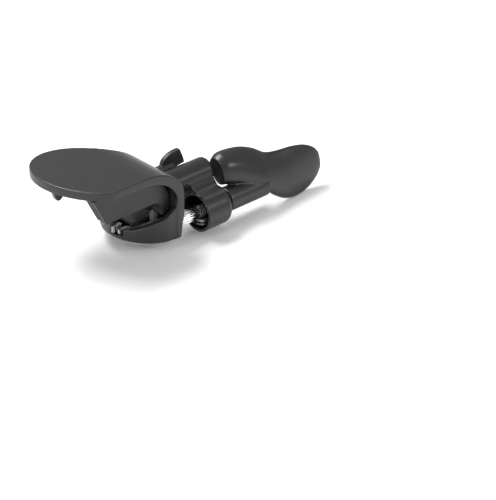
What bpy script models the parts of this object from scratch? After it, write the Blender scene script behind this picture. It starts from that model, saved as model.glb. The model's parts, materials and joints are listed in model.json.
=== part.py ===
"""Side-cutting manual can opener: palm plate on a loop, lid shoe, cutter bell and twisted key.

Lengths below are in millimetres and angles in degrees; the mesh helpers turn them into metres.
Frame: +X runs outward along the key shaft, +Y away from the loop's open side, +Z up.
The origin is on the flat underside of the shoe, where the opener rests on a can's lid.
"""
import math

import bmesh
import bpy
from mathutils import Matrix, Vector

MM = 0.001
GAP = 0.3

# Key shaft and what runs on it
SHAFT_Z = 6.8
SHAFT_R = 1.8
SHAFT_START = -1.0
SHAFT_END = 84.0
ROLLER_R = 3.2
ROLLER_TOOTH_DEPTH = 0.45
ROLLER_TEETH = 18
ROLLER_START = 9.9
ROLLER_END = 20.4

# Side profile of the palm plate and its loop
PLATE_TOP = 37.3
BAND = 4.1
LOOP_START = -12.0
LOOP_OUTER_X = 9.3
LOOP_OUTER_TURN_Z = 22.0
LOOP_INNER_START = -14.0
LOOP_INNER_X = 5.3
LOOP_INNER_TURN_Z = 19.5
NEAR_SIDE = -5.0
LOOP_FAR_SIDE = 24.0

# Plan of the palm plate: an ellipse set at an angle to the shaft
PALM_CENTRE = (-24.6, 17.4)
PALM_HALF_LENGTH = 28.3
PALM_HALF_WIDTH = 20.1
PALM_ANGLE = 117.0

# Lid shoe: a round-nosed bowl that sits inside the can's rim
SHOE_CENTRE = (7.3, 17.0)
SHOE_R = 22.0
SHOE_WALL = 2.2
SHOE_BOTTOM = 1.2
SHOE_FLOOR = 2.8
SHOE_FAR_SIDE = 35.0
SOLE_THICKNESS = 0.9
SOLE_SCREWS = ((-5.5, 4.0), (-8.5, 24.0), (3.5, 30.0))
MOUTH_ANGLES = (180.0, 198.0)
LIP_PROFILE = ((-16, 6.6), (-12, 7.0), (-10, 8.2), (-5, 10.9), (0, 13.2), (5.3, 17.5))
LEG_BACK_PROFILE = ((36, 6.9), (29, 7.6), (24.4, 18.5))
COVER_Z = (6.4, 7.8)
COVER_NEAR = 10.2

# Recessed panel that fills the loop
PANEL_NEAR = 0.5
PANEL_FAR = 6.8
PANEL_BOTTOM = 19.7

# Bridge barrel over the rim, and the bell that covers the cutter
BARREL_Y = 11.0
BARREL_Z = 18.8
BARREL_R = 6.25
BARREL_START = 9.6
BARREL_END = 36.6
BELL_R = 9.3
BELL_WALL = 1.2
BELL_START = 20.6
BELL_END = 35.6
BELL_CAP = 2.0

# Cutter carriage inside the bell
CUTTER_X = 24.6
CUTTER_R = 4.6
CUTTER_Z = (0.5, 1.7)

# Thumb lever behind the barrel, and the lid pincer in the shoe
LEVER_Y = 20.6
LEVER_Z = 20.6
LEVER_R = 2.6
LEVER_START = 15.2
LEVER_END = 24.5
LEVER_PIN_R = 0.9
JAW_PIVOT = (2.2, 6.6)
JAW_PIN_R = 1.7
JAW_PIN_TOP = 12.0
JAW_TIP = (-14.6, 12.5)
JAW_Z = (4.3, 6.0)
FIXED_JAW_EDGE = 15.6

# Key handle
KEY_START = 37.6
KEY_HUB_R = 5.8
KEY_HUB_END = 62.0
KEY_PIN_X = 45.0

# Sections of the key's twisted wing: distance along the shaft, then the wing's upper tip, its
# near ridge, its near root and its far root as (sideways, up) from the shaft axis.
WING = (
    (38.2, (11.5, 17.0), (2.5, 17.4), (1.5, 7.0), (7.0, 7.0)),
    (42.0, (12.5, 18.8), (0.5, 18.5), (-0.5, 6.0), (8.0, 8.0)),
    (48.0, (11.0, 20.0), (-1.0, 16.5), (-2.0, 4.0), (7.0, 8.5)),
    (54.0, (9.0, 20.5), (-2.5, 12.8), (-3.5, 1.0), (5.5, 6.0)),
    (60.0, (7.0, 19.0), (-3.8, 8.5), (-4.5, -2.0), (4.5, 3.0)),
    (66.0, (4.6, 15.8), (-4.4, 4.0), (-5.0, -7.0), (3.0, -1.0)),
    (73.0, (3.6, 15.2), (-4.2, 1.0), (-4.6, -11.0), (1.6, -4.0)),
    (81.0, (3.0, 14.6), (-3.6, 0.5), (-3.6, -13.0), (1.2, -5.0)),
    (89.0, (2.2, 12.6), (-3.0, 0.0), (-2.8, -12.0), (1.0, -4.0)),
    (95.0, (1.4, 8.6), (-2.2, 0.0), (-2.0, -8.4), (0.8, -2.0)),
    (98.0, (0.8, 4.6), (-1.4, 0.0), (-1.2, -4.6), (0.4, -1.0)),
)
WING_SIDES = 16
WING_STEPS = 22
WING_SWELL = 1.28


def material(name, color, roughness, metallic=0.0):
    mat = bpy.data.materials.new(name)
    mat.use_nodes = True
    shader = mat.node_tree.nodes["Principled BSDF"]
    shader.inputs["Base Color"].default_value = (*color, 1.0)
    shader.inputs["Roughness"].default_value = roughness
    shader.inputs["Metallic"].default_value = metallic
    return mat


def place(name, bm, mat, origin=(0.0, 0.0, 0.0)):
    """Turn a bmesh in millimetres into a smooth-shaded object whose origin is at the given point."""
    bmesh.ops.recalc_face_normals(bm, faces=bm.faces)
    bmesh.ops.translate(bm, verts=bm.verts, vec=-Vector(origin))
    bmesh.ops.scale(bm, verts=bm.verts, vec=(MM, MM, MM))
    mesh = bpy.data.meshes.new(name)
    bm.to_mesh(mesh)
    bm.free()
    mesh.materials.append(mat)
    mesh.shade_smooth()
    mesh.set_sharp_from_angle(angle=math.radians(32))
    obj = bpy.data.objects.new(name, mesh)
    obj.location = Vector(origin) * MM
    bpy.context.collection.objects.link(obj)
    return obj


def on_axis(axis, along, u, v):
    """A point from its distance along an axis and its two other coordinates in X, Y, Z order."""
    if axis == "x":
        return (along, u, v)
    if axis == "y":
        return (u, along, v)
    return (u, v, along)


def prism(outline, low, high, axis="z", bm=None):
    bm = bm or bmesh.new()
    rings = [[bm.verts.new(on_axis(axis, level, u, v)) for u, v in outline] for level in (low, high)]
    count = len(outline)
    for i in range(count):
        j = (i + 1) % count
        bm.faces.new((rings[0][i], rings[0][j], rings[1][j], rings[1][i]))
    bm.faces.new(rings[0])
    bm.faces.new(rings[1])
    return bm


def turned(profile, centre=(0.0, 0.0), axis="x", segments=32, bm=None):
    """Turn a profile of (along, radius) points; radius 0 closes an end, otherwise it is a ring."""
    bm = bm or bmesh.new()
    rings = []
    for along, radius in profile:
        if radius == 0:
            rings.append([bm.verts.new(on_axis(axis, along, *centre))] * segments)
            continue
        turns = [2 * math.pi * i / segments for i in range(segments)]
        rings.append([bm.verts.new(on_axis(axis, along, centre[0] + radius * math.cos(t),
                                           centre[1] + radius * math.sin(t))) for t in turns])
    pairs = list(zip(rings, rings[1:]))
    if profile[0][1] > 0:
        pairs.append((rings[-1], rings[0]))
    for first, second in pairs:
        for i in range(segments):
            j = (i + 1) % segments
            corners = list(dict.fromkeys((first[i], first[j], second[j], second[i])))
            bm.faces.new(corners)
    return bm


def ring(low, high, inner, outer, **where):
    return turned([(low, inner), (low, outer), (high, outer), (high, inner)], **where)


def rod(low, high, radius, chamfer=0.0, **where):
    profile = [(low, 0), (low, radius - chamfer), (low + chamfer, radius),
               (high - chamfer, radius), (high, radius - chamfer), (high, 0)]
    if not chamfer:
        profile = [(low, 0), (low, radius), (high, radius), (high, 0)]
    return turned(profile, **where)


def coil(low, high, radius, wire, turns, centre, axis="x", steps=12, sides=6):
    """A helical spring with flat-cut ends."""
    bm = bmesh.new()
    rings = []
    for i in range(turns * steps + 1):
        share = i / (turns * steps)
        angle = 2 * math.pi * turns * share
        along = low + wire + (high - low - 2 * wire) * share
        section = []
        for k in range(sides):
            t = 2 * math.pi * k / sides
            r = radius + wire * math.cos(t)
            section.append(bm.verts.new(on_axis(axis, along + wire * math.sin(t),
                                                centre[0] + r * math.cos(angle),
                                                centre[1] + r * math.sin(angle))))
        rings.append(section)
    for first, second in zip(rings, rings[1:]):
        for k in range(sides):
            j = (k + 1) % sides
            bm.faces.new((first[k], first[j], second[j], second[k]))
    bm.faces.new(rings[0])
    bm.faces.new(rings[-1])
    return bm


def tool(name, bm, origin=(0.0, 0.0, 0.0)):
    """A hidden solid that a Boolean modifier adds, cuts or keeps."""
    obj = place(name, bm, STEEL, origin)
    obj.hide_render = True
    obj.display_type = "WIRE"
    return obj


def combine(target, operation, *tools):
    for other in tools:
        modifier = target.modifiers.new(f"{operation.lower()}_{other.name}", "BOOLEAN")
        modifier.operation = operation
        modifier.solver = "EXACT"
        modifier.object = other


def arc(centre, radii, start, end, steps):
    """Points on an ellipse arc between two angles."""
    turns = [math.radians(start + (end - start) * i / steps) for i in range(steps + 1)]
    return [(centre[0] + radii[0] * math.cos(t), centre[1] + radii[1] * math.sin(t)) for t in turns]


def tilted_ellipse(centre, half_length, half_width, angle, steps):
    cos_a = math.cos(math.radians(angle))
    sin_a = math.sin(math.radians(angle))
    points = []
    for i in range(steps):
        t = 2 * math.pi * i / steps
        u = half_length * math.cos(t)
        v = half_width * math.sin(t)
        points.append((centre[0] + u * cos_a - v * sin_a, centre[1] + u * sin_a + v * cos_a))
    return points


def palm_plan():
    """Plan of the palm plate: its oval, run into the straight strip that becomes the loop."""
    oval = tilted_ellipse(PALM_CENTRE, PALM_HALF_LENGTH, PALM_HALF_WIDTH, PALM_ANGLE, 56)
    kept = [p for p in oval if p[1] > NEAR_SIDE + 0.2 and (p[0] < -12 or p[1] > 36)]
    first = next(i for i, p in enumerate(kept) if math.dist(p, kept[i - 1]) > 6)
    kept = kept[first:] + kept[:first]
    strip = [(-29, NEAR_SIDE), (12, NEAR_SIDE), (12, LOOP_FAR_SIDE), (2, LOOP_FAR_SIDE + 0.4), (-5, 28)]
    if kept[0][1] < kept[-1][1]:
        kept.reverse()
    return kept + strip


def loop_profile():
    """Side outline of the palm plate, the loop and the leg down to the shoe."""
    outer_size = (LOOP_OUTER_X - LOOP_START, PLATE_TOP - LOOP_OUTER_TURN_Z)
    inner_top = PLATE_TOP - BAND
    inner_size = (LOOP_INNER_X - LOOP_INNER_START, inner_top - LOOP_INNER_TURN_Z)
    outer = arc((LOOP_START, LOOP_OUTER_TURN_Z), outer_size, 90, 0, 12)
    inner = arc((LOOP_INNER_START, LOOP_INNER_TURN_Z), inner_size, 0, 90, 12)
    leg = [(LOOP_OUTER_X, 12), (8.4, 8), (7.6, SHOE_BOTTOM), (LOOP_INNER_X, SHOE_BOTTOM)]
    return [(-52, PLATE_TOP)] + outer + leg + inner + [(-52, inner_top)]


def shoe_plan(inset):
    """Plan of the lid shoe, moved inward by an inset."""
    radius = SHOE_R - inset
    right = 7.6 - inset
    far = SHOE_FAR_SIDE - inset
    near = NEAR_SIDE + inset
    round_part = arc(SHOE_CENTRE, (radius, radius), 130, 252, 26)
    kept = [p for p in round_part if p[1] > near and p[1] < far]
    return [(right, far)] + kept + [(right, near)]


def lip_tool():
    """The space under the shoe's sloping upper edge."""
    top = list(LIP_PROFILE) + [(8.0, 19.0)]
    return prism([(-16, 0), (8.0, 0)] + top[::-1], NEAR_SIDE - 1, SHOE_FAR_SIDE + 1, "y")


def sector(centre, radius, start, end):
    return [centre] + arc(centre, (radius, radius), start, end, 4)


def make_palm_body():
    body = place("palm_body", prism(loop_profile(), NEAR_SIDE - 6, 52, "y"), BLACK)
    plan = tool("palm_plan", prism(palm_plan(), 0, 45))
    shoe = tool("shoe_walls", prism(shoe_plan(0), SHOE_BOTTOM, 18.5))
    hollow = tool("shoe_hollow", prism(shoe_plan(SHOE_WALL), SHOE_FLOOR, 30))
    back = [(NEAR_SIDE - 1, 0), (SHOE_FAR_SIDE + 1, 0)] + list(LEG_BACK_PROFILE) + [(NEAR_SIDE - 1, 18.5)]
    combine(shoe, "INTERSECT", tool("lip_height", lip_tool()), tool("back_height", prism(back, -20, 12, "x")))
    combine(body, "INTERSECT", plan)
    combine(body, "UNION", shoe)
    mouth = prism(sector(SHOE_CENTRE, SHOE_R + 3, *MOUTH_ANGLES), SHOE_FLOOR, 30)
    shaft_hole = turned([(-1.3, 0), (-1.3, SHAFT_R + GAP), (0.4, SHAFT_R + GAP), (0.4, 2.9), (3.7, 2.9),
                         (3.7, 3.3), (12, 3.3), (12, 0)], centre=(0, SHAFT_Z), segments=24)
    screw_hole = rod(-3, 12, 1.9, centre=(BARREL_Y, BARREL_Z), segments=16)
    pin_hole = rod(0, 4, JAW_PIN_R + GAP, centre=JAW_PIVOT, axis="z", segments=16)
    lever_hole = rod(5.9, 12, LEVER_PIN_R + GAP, centre=(LEVER_Y, LEVER_Z), segments=16)
    combine(body, "DIFFERENCE", hollow, tool("jaw_mouth", mouth), tool("shaft_hole", shaft_hole),
            tool("bridge_screw_hole", screw_hole), tool("jaw_pin_hole", pin_hole),
            tool("lever_pin_hole", lever_hole))


def make_side_panel():
    inner_top = PLATE_TOP - BAND - GAP
    right = LOOP_INNER_X - GAP
    size = (right - LOOP_INNER_START, inner_top - LOOP_INNER_TURN_Z)
    top = arc((LOOP_INNER_START, LOOP_INNER_TURN_Z), size, 90, 0, 10)
    mouth_end = arc((-4.6, 14.2), (5.6, PANEL_BOTTOM - 14.2), 0, 90, 6)
    outline = [(-38.0, inner_top)] + top + [(right, 12.4), (1.0, 12.4)] + mouth_end
    outline.append((-31.0, PANEL_BOTTOM))
    panel = place("side_panel", prism(outline, PANEL_NEAR, PANEL_FAR, "y"), BLACK)
    for low in (2.2, 4.5):
        groove = prism([(-42, 36), (-37.2, 36), (-29.2, 18), (-34, 18)], low, low + 0.9, "y")
        combine(panel, "DIFFERENCE", tool(f"panel_groove_{low:.0f}", groove))
    barrel_screw_room = rod(1.6, 6, 3.6, centre=(BARREL_Y, BARREL_Z), segments=20)
    combine(panel, "DIFFERENCE", tool("panel_screw_room", barrel_screw_room))


def make_shoe_cover():
    """Deck over the back of the shoe, behind the panel."""
    inset = SHOE_WALL + GAP
    edge = [p for p in shoe_plan(inset) if p[1] > COVER_NEAR + 0.2]
    far_right = edge[0]
    near_left = (edge[-1][0] + 0.1, COVER_NEAR)
    outline = edge + [near_left, (far_right[0], COVER_NEAR)]
    cover = place("shoe_cover", prism(outline, *COVER_Z), BLACK)
    clear = [(-20, 18.4), (-20, 9), (-8.4, 9), (-8.4, 18.4)]
    combine(cover, "DIFFERENCE", tool("cover_mouth", prism(clear, 5, 9)))


def make_sole():
    sole = place("sole_plate", prism(shoe_plan(0.5), 0, SOLE_THICKNESS), STEEL)
    for i, spot in enumerate(SOLE_SCREWS):
        hole = rod(-1, 2, 1.3, centre=spot, axis="z", segments=16)
        combine(sole, "DIFFERENCE", tool(f"sole_hole_{i}", hole))
        body_hole = rod(0.5, 4, 1.0, centre=spot, axis="z", segments=12)
        combine(bpy.data.objects["palm_body"], "DIFFERENCE", tool(f"body_hole_{i}", body_hole))
    pin_hole = rod(-1, 2, JAW_PIN_R + GAP, centre=JAW_PIVOT, axis="z", segments=16)
    combine(sole, "DIFFERENCE", tool("sole_pin_hole", pin_hole))
    for i, spot in enumerate(SOLE_SCREWS):
        profile = [(0.05, 0), (0.05, 0.95), (0.45, 0.7), (SHOE_FLOOR, 0.7), (SHOE_FLOOR, 0)]
        place(f"sole_screw_{i + 1}", turned(profile, centre=spot, axis="z", segments=12), STEEL)


def make_outer_housing():
    barrel_profile = [(BARREL_START, 0), (BARREL_START, BARREL_R), (BARREL_END - 1.2, BARREL_R),
                      (BARREL_END - 0.3, BARREL_R - 0.4), (BARREL_END, BARREL_R - 1.3), (BARREL_END, 0)]
    housing = place("outer_housing", turned(barrel_profile, centre=(BARREL_Y, BARREL_Z), segments=40), BLACK)
    bell_profile = [(BELL_START, 0), (BELL_START, BELL_R - 0.3), (BELL_START + 0.4, BELL_R),
                    (BELL_END - 2.2, BELL_R), (BELL_END - 0.8, BELL_R - 0.8), (BELL_END, BELL_R - 2.4),
                    (BELL_END, 0)]
    bell = tool("bell_outside", turned(bell_profile, centre=(0, SHAFT_Z), segments=44))
    across = Vector((BARREL_Y, BARREL_Z - SHAFT_Z)).normalized()
    side = Vector((-across.y, across.x)) * 5.2
    low = Vector((0, SHAFT_Z))
    high = Vector((BARREL_Y, BARREL_Z))
    web = prism([low + side, high + side, high - side, low - side], BELL_START, BELL_END - 1, "x")
    combine(housing, "UNION", bell, tool("bell_bridge", web))
    for i, angle in enumerate((83.0, 113.0)):
        t = math.radians(angle)
        spot = (BELL_R * math.cos(t), SHAFT_Z + BELL_R * math.sin(t))
        rib = rod(BELL_START, BELL_END - 2, 1.25, centre=spot, segments=12)
        combine(housing, "UNION", tool(f"bell_rib_{i}", rib))
    cavity = rod(BELL_START - 2, BELL_END - BELL_CAP, BELL_R - BELL_WALL, centre=(0, SHAFT_Z), segments=44)
    bush_hole = rod(30, 40, 3.3, centre=(0, SHAFT_Z), segments=24)
    screw_hole = rod(5, 24, 1.2, centre=(BARREL_Y, BARREL_Z), segments=16)
    combine(housing, "DIFFERENCE", tool("bell_cavity", cavity), tool("outer_bush_hole", bush_hole),
            tool("bridge_screw_bore", screw_hole))


def make_fasteners():
    spot = (BARREL_Y, BARREL_Z)
    screw = [(2.2, 0), (2.2, 2.4), (3.4, 3.0), (5.0, 3.0), (5.0, 0.9), (22.0, 0.9), (22.0, 0)]
    place("bridge_screw", turned(screw, centre=spot, segments=16), STEEL)
    place("inner_bush", ring(4.0, 9.2, SHAFT_R + GAP, 3.0, centre=(0, SHAFT_Z), segments=24), BRONZE)
    outer_low = BELL_END - BELL_CAP - 1.0
    outer = [(outer_low, SHAFT_R + GAP), (outer_low, 4.6), (outer_low + 0.7, 4.6), (outer_low + 0.7, 3.0),
             (BELL_END + 0.2, 3.0), (BELL_END + 0.2, SHAFT_R + GAP)]
    place("outer_bush", turned(outer, centre=(0, SHAFT_Z), segments=24), BRONZE)
    pin = rod(0.1, JAW_PIN_TOP, JAW_PIN_R, 0.3, centre=JAW_PIVOT, axis="z", segments=20)
    place("jaw_pin", pin, STEEL)
    key_pin = rod(SHAFT_Z - 5.2, SHAFT_Z + 5.2, 0.8, 0.2, centre=(KEY_PIN_X, 0), axis="z", segments=12)
    place("key_pin", key_pin, STEEL, (KEY_PIN_X, 0, SHAFT_Z))


def key_pin_hole(owner):
    hole = rod(SHAFT_Z - 7, SHAFT_Z + 7, 1.1, centre=(KEY_PIN_X, 0), axis="z", segments=16)
    return tool(f"{owner}_pin_hole", hole)


def make_drive():
    origin = (ROLLER_START, 0, SHAFT_Z)
    shaft = [(SHAFT_START, 0), (SHAFT_START, 1.3), (SHAFT_START + 0.5, SHAFT_R), (0.6, SHAFT_R),
             (0.6, 1.3), (1.5, 1.3), (1.5, SHAFT_R), (SHAFT_END - 0.4, SHAFT_R), (SHAFT_END, 1.4),
             (SHAFT_END, 0)]
    shaft = place("drive_shaft", turned(shaft, centre=(0, SHAFT_Z), segments=24), STEEL, origin)
    combine(shaft, "DIFFERENCE", key_pin_hole("shaft"))
    teeth = []
    for i in range(ROLLER_TEETH):
        for share, depth in ((0.0, ROLLER_TOOTH_DEPTH), (0.25, 0.0), (0.6, 0.0), (0.85, ROLLER_TOOTH_DEPTH)):
            t = 2 * math.pi * (i + share) / ROLLER_TEETH
            r = ROLLER_R - depth
            teeth.append((r * math.cos(t), SHAFT_Z + r * math.sin(t)))
    roller = place("drive_roller", prism(teeth, ROLLER_START, ROLLER_END, "x"), CHROME, origin)
    bore = rod(5, 25, SHAFT_R + GAP, centre=(0, SHAFT_Z), segments=24)
    combine(roller, "DIFFERENCE", tool("roller_bore", bore))
    clip = ring(0.75, 1.35, 1.6, 2.5, centre=(0, SHAFT_Z), segments=20)
    place("shaft_clip", clip, STEEL, origin)
    washer = ring(2.2, 3.6, SHAFT_R + GAP, 2.6, centre=(0, SHAFT_Z), segments=20)
    place("inner_washer", washer, STEEL, origin)
    low = BELL_END + 0.5
    outer_washer = ring(low, KEY_START - GAP, SHAFT_R + GAP, 4.8, centre=(0, SHAFT_Z), segments=24)
    place("key_washer", outer_washer, STEEL, origin)


def make_cutter():
    plate_z = (CUTTER_Z[1] + 0.5, CUTTER_Z[1] + 1.7)
    plate = [(CUTTER_X - 3.2, -3.4), (31.4, -3.4), (31.4, 3.4), (CUTTER_X - 3.2, 3.4)]
    carriage = place("cutter_carriage", prism(plate, *plate_z), STEEL)
    collar = tool("carriage_collar", ring(28.4, 31.4, SHAFT_R + 0.5, 4.7, centre=(0, SHAFT_Z), segments=28))
    combine(carriage, "UNION", collar)
    axle_hole = rod(0, 8, 1.3, centre=(CUTTER_X, 0), axis="z", segments=16)
    combine(carriage, "DIFFERENCE", tool("axle_hole", axle_hole))
    axle = [(-0.1, 0), (-0.1, 1.9), (0.2, 1.9), (0.2, 1.0), (plate_z[1], 1.0), (plate_z[1], 0)]
    place("cutter_axle", turned(axle, centre=(CUTTER_X, 0), axis="z", segments=20), STEEL)
    low, high = CUTTER_Z
    wheel = [(low, 1.3), (low, 2.6), (low + 0.25, 3.0), (high - 0.35, CUTTER_R), (high - 0.25, CUTTER_R),
             (high, CUTTER_R - 0.8), (high, 1.3)]
    origin = (CUTTER_X, 0, low)
    place("cutting_wheel", turned(wheel, centre=(CUTTER_X, 0), axis="z", segments=40), CHROME, origin)
    spring = coil(20.9, 28.1, 2.55, 0.25, 5, (0, SHAFT_Z))
    place("carriage_spring", spring, STEEL)


def make_lever():
    spot = (LEVER_Y, LEVER_Z)
    origin = (LEVER_START, *spot)
    hub = rod(LEVER_START, LEVER_END, LEVER_R, 0.4, centre=spot, segments=24)
    lever = place("thumb_lever", hub, GREY, origin)
    fin = [(17.6, LEVER_Z + 1.6), (18.2, 24.6), (19.6, 26.3), (22.2, 27.7), (25.4, 28.3), (28.4, 28.4),
           (29.2, 26.8), (30.4, 23.8), (31.2, LEVER_Z + 0.4), (LEVER_END, LEVER_Z - 0.6),
           (17.6, LEVER_Z - 0.6)]
    blade = tool("lever_fin", prism(fin, LEVER_Y - 1.1, LEVER_Y + 1.1, "y"))
    bore = tool("lever_bore", rod(5, LEVER_END - 1.2, LEVER_PIN_R + GAP, centre=spot, segments=16))
    combine(lever, "UNION", blade)
    combine(lever, "DIFFERENCE", bore)
    place("lever_pin", rod(6.2, LEVER_END - 1.6, LEVER_PIN_R, centre=spot, segments=16), STEEL)
    place("lever_spring", coil(9.7, LEVER_START - GAP, 1.75, 0.28, 5, spot), STEEL)


def serrated_edge(start, end, count, depth):
    """Points of a saw edge from one plan point to another, teeth to the left of travel."""
    run = Vector(end) - Vector(start)
    normal = Vector((-run.y, run.x)).normalized() * depth
    points = []
    for i in range(count):
        points.append(Vector(start) + run * (i / count))
        points.append(Vector(start) + run * ((i + 0.5) / count) + normal)
    return [tuple(p) for p in points] + [tuple(end)]


def make_pincer():
    px, py = JAW_PIVOT
    tx, ty = JAW_TIP
    origin = (px, py, 4.0)
    arm = [(px - 1, py + 2.5), (-8.0, ty - 0.6)] + serrated_edge((-9.4, ty), (tx, ty), 3, -0.5)
    arm += [(tx, ty - 1.1), (-10.6, ty - 1.2), (-8.4, 8.6), (px - 1, py - 2.5)]
    jaw = place("lid_jaw", prism(arm, *JAW_Z), STEEL, origin)
    eye = tool("jaw_eye", rod(*JAW_Z, 2.7, centre=JAW_PIVOT, axis="z", segments=24))
    bore = tool("jaw_bore", rod(3, 8, JAW_PIN_R + GAP, centre=JAW_PIVOT, axis="z", segments=20))
    combine(jaw, "UNION", eye)
    combine(jaw, "DIFFERENCE", bore)
    spacer = ring(6.3, 8.6, JAW_PIN_R + GAP, 2.5, centre=JAW_PIVOT, axis="z", segments=20)
    place("jaw_spacer", spacer, STEEL)
    place("jaw_spring", coil(8.9, 11.8, 2.2, 0.28, 3, JAW_PIVOT, axis="z"), STEEL)
    fixed = serrated_edge((-9.4, FIXED_JAW_EDGE), (-14.9, FIXED_JAW_EDGE), 3, 0.5)
    fixed = [(-14.9, 16.6), (-11.6, 16.6), (-11.6, 21.0), (-9.4, 21.0)] + fixed
    place("fixed_jaw", prism(fixed, SHOE_FLOOR + GAP, 6.0), STEEL)


def make_tab_hook():
    low = PLATE_TOP - BAND - GAP
    outline = [(-45.2, low), (-43.9, 29.4), (-43.0, 28.3), (-41.6, 28.2), (-34.0, low)]
    place("tab_hook", prism(outline, 18.2, 20.6, "y"), BLACK)


def spline(points, share):
    """Smooth value through evenly spaced control points, for a share from 0 to 1."""
    last = len(points) - 1
    place_on = min(share * last, last - 1e-9)
    i = int(place_on)
    t = place_on - i
    p0 = points[max(i - 1, 0)]
    p1 = points[i]
    p2 = points[i + 1]
    p3 = points[min(i + 2, last)]
    return 0.5 * (2 * p1 + (p2 - p0) * t + (2 * p0 - 5 * p1 + 4 * p2 - p3) * t * t
                  + (3 * p1 - p0 - 3 * p2 + p3) * t ** 3)


def wing_section(share):
    """One closed section of the wing, rounded around its four control points."""
    along = spline([station[0] for station in WING], share)
    corners = [Vector([spline([station[k][c] for station in WING], share) for c in (0, 1)])
               for k in (1, 2, 3, 4)]
    points = []
    for i in range(WING_SIDES):
        t = i / WING_SIDES * 4
        k = int(t)
        f = t - k
        a, b, c, d = (corners[(k + n - 1) % 4] for n in range(4))
        weights = ((1 - f) ** 3, 3 * f ** 3 - 6 * f * f + 4, -3 * f ** 3 + 3 * f * f + 3 * f + 1, f ** 3)
        mixed = (a * weights[0] + b * weights[1] + c * weights[2] + d * weights[3]) / 6
        centre = sum(corners, Vector((0, 0))) / 4
        points.append(centre + (mixed - centre) * WING_SWELL)
    return along, points


def make_key():
    origin = (KEY_START, 0, SHAFT_Z)
    hub = [(KEY_START, SHAFT_R + GAP), (KEY_START, KEY_HUB_R - 0.5), (KEY_START + 0.5, KEY_HUB_R),
           (KEY_HUB_END, KEY_HUB_R), (KEY_HUB_END, SHAFT_R + GAP)]
    bm = bmesh.new()
    rings = []
    for i in range(WING_STEPS + 1):
        along, section = wing_section(i / WING_STEPS)
        rings.append([bm.verts.new((along, p.x, SHAFT_Z + p.y)) for p in section])
    for first, second in zip(rings, rings[1:]):
        for i in range(WING_SIDES):
            j = (i + 1) % WING_SIDES
            bm.faces.new((first[i], first[j], second[j], second[i]))
    bm.faces.new(rings[0])
    bm.faces.new(rings[-1])
    key = place("key_handle", bm, BLACK, origin)
    collar = tool("key_hub_solid", turned(hub, centre=(0, SHAFT_Z), segments=32))
    combine(key, "UNION", collar)
    combine(key, "DIFFERENCE", key_pin_hole("key"))
    bore = tool("key_bore", rod(KEY_START - 2, SHAFT_END + GAP, SHAFT_R + GAP, centre=(0, SHAFT_Z), segments=24))
    combine(key, "DIFFERENCE", bore)


for leftover in list(bpy.data.objects):
    bpy.data.objects.remove(leftover, do_unlink=True)

BLACK = material("black_plastic", (0.022, 0.022, 0.024), 0.42)
GREY = material("dark_grey_plastic", (0.04, 0.04, 0.042), 0.5)
STEEL = material("brushed_steel", (0.55, 0.55, 0.56), 0.32, 1.0)
CHROME = material("hardened_chrome", (0.82, 0.82, 0.84), 0.14, 1.0)
BRONZE = material("oiled_bronze", (0.42, 0.27, 0.12), 0.4, 1.0)

make_palm_body()
make_side_panel()
make_shoe_cover()
make_sole()
make_outer_housing()
make_fasteners()
make_drive()
make_cutter()
make_lever()
make_pincer()
make_tab_hook()
make_key()
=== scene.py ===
"""Looks of a side-cutting manual can opener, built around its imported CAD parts.

Lengths below are in millimetres and angles in degrees; each finished piece is scaled to metres.
+X runs outward along the key shaft, +Y away from the loop's open side, +Z up.
"""
import json
import math

import bmesh
import bpy
from mathutils import Matrix, Vector

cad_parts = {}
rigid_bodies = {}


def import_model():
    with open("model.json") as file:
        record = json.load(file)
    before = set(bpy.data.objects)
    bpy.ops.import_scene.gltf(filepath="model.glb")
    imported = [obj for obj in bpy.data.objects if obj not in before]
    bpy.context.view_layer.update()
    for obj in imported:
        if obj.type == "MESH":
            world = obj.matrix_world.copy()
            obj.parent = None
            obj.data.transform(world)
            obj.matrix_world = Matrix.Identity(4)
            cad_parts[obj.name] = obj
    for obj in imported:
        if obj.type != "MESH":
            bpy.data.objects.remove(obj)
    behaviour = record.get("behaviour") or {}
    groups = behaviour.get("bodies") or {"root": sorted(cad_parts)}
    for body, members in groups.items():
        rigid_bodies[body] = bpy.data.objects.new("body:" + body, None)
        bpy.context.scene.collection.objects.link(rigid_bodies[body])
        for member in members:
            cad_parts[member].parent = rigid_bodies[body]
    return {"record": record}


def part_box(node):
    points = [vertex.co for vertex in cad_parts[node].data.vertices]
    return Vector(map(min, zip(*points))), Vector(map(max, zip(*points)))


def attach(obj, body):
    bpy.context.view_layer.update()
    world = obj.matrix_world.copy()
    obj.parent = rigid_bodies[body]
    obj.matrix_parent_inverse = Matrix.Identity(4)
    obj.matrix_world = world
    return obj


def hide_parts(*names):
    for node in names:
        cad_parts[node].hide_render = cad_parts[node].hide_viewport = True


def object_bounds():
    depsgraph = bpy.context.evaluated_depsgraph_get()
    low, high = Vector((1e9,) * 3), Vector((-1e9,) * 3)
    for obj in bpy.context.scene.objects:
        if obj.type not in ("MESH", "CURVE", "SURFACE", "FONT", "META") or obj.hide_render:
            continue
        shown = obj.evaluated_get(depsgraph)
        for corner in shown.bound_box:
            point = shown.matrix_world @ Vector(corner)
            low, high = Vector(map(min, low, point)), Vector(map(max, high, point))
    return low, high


for leftover in list(bpy.data.objects):
    bpy.data.objects.remove(leftover, do_unlink=True)

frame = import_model()
CAD_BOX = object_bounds()
MM = 0.001
GAP = 0.3


def span(node, axis):
    """Lowest and highest coordinate of a CAD node along X, Y or Z, in millimetres."""
    low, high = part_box(node)
    i = "xyz".index(axis)
    return low[i] / MM, high[i] / MM


def middle(node, axis):
    return sum(span(node, axis)) / 2


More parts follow.
